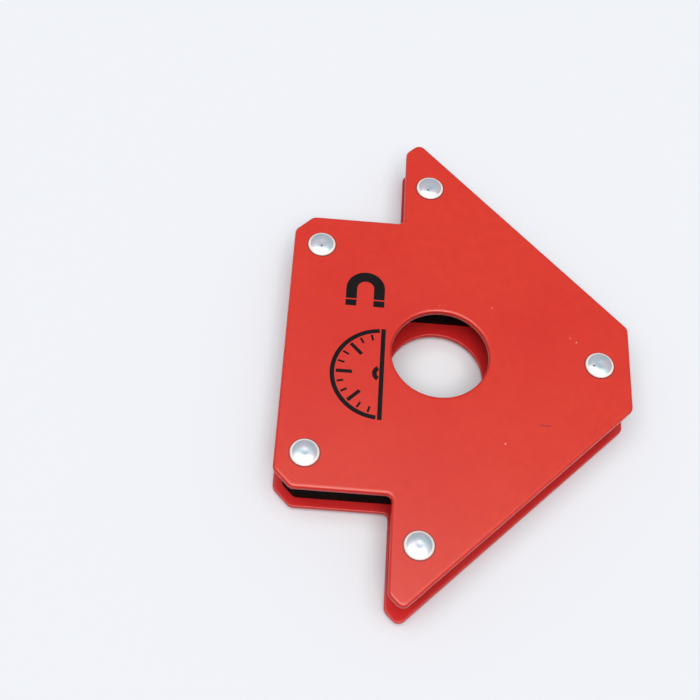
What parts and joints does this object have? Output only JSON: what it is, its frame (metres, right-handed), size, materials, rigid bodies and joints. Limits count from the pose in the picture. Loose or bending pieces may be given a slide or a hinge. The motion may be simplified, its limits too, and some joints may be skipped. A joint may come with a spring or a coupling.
{
  "type": "welding magnet holder",
  "caption": "Flat arrow-shaped magnetic holder that sets steel parts at 45, 90 and 135 degrees for welding: red plates riveted over magnets, with a round centre hole.",
  "frame": {"origin": "middle of the holder's length and height, at the level of the rivet tails' flat ends that it rests on", "axes": "+X along the line of symmetry from the stem to the flat tip, +Y across the head towards the left notch, +Z out of the front plate"},
  "size_m": [0.078, 0.1182, 0.0138],
  "materials": {
    "red_powder_coat": "satin",
    "black_plastic": "matte",
    "ferrite": "matte",
    "steel_tube": "satin",
    "zinc_plated_steel": "gloss"
  },
  "bodies": {
    "root": {"front_plate": "red_powder_coat", "rear_plate": "red_powder_coat", "magnet_carrier": "black_plastic", "edge_magnet_left_head": "ferrite", "edge_magnet_left_tip": "ferrite", "edge_magnet_right_head": "ferrite", "edge_magnet_right_tip": "ferrite", "side_magnet_left": "ferrite", "side_magnet_right": "ferrite", "stem_magnet": "ferrite", "spacer_tip": "steel_tube", "spacer_head_left": "steel_tube", "spacer_head_right": "steel_tube", "spacer_stem_left": "steel_tube", "spacer_stem_right": "steel_tube", "rivet_tip": "zinc_plated_steel", "rivet_head_left": "zinc_plated_steel", "rivet_head_right": "zinc_plated_steel", "rivet_stem_left": "zinc_plated_steel", "rivet_stem_right": "zinc_plated_steel"}
  },
  "joints": []
}
